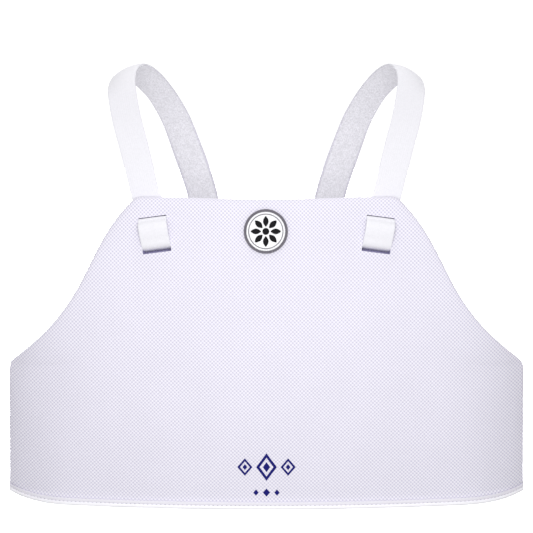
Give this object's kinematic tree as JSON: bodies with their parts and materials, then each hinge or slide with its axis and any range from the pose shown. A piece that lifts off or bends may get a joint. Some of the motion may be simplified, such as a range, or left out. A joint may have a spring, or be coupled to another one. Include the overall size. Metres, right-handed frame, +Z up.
{
  "type": "fencing chest protector",
  "caption": "White padded fencing chest protector: a curved mesh-covered panel with armholes, a bound hem, slotted elastic shoulder straps and a closing back band.",
  "frame": {"origin": "on the panel's inner face, on the midline, where it lies against the breastbone", "axes": "+X across the chest to the viewer's right, +Y into the wearer, +Z up"},
  "size_m": [0.3802, 0.207, 0.319],
  "materials": {
    "mesh_cloth": "white polyester mesh cloth with a fine diamond weave over foam and a stiff plate",
    "hem_tape": "white folded binding tape with one row of stitches",
    "elastic_webbing": "white woven elastic, smooth outside and a fine grey speckle inside",
    "badge_rubber": "moulded soft plastic badge, white face and dark grey raised lines"
  },
  "bodies": {
    "root": {"chest_panel": "mesh_cloth", "bottom_hem": "hem_tape", "strap_right": "elastic_webbing", "strap_left": "elastic_webbing", "back_band": "elastic_webbing", "badge": "badge_rubber"}
  },
  "joints": []
}
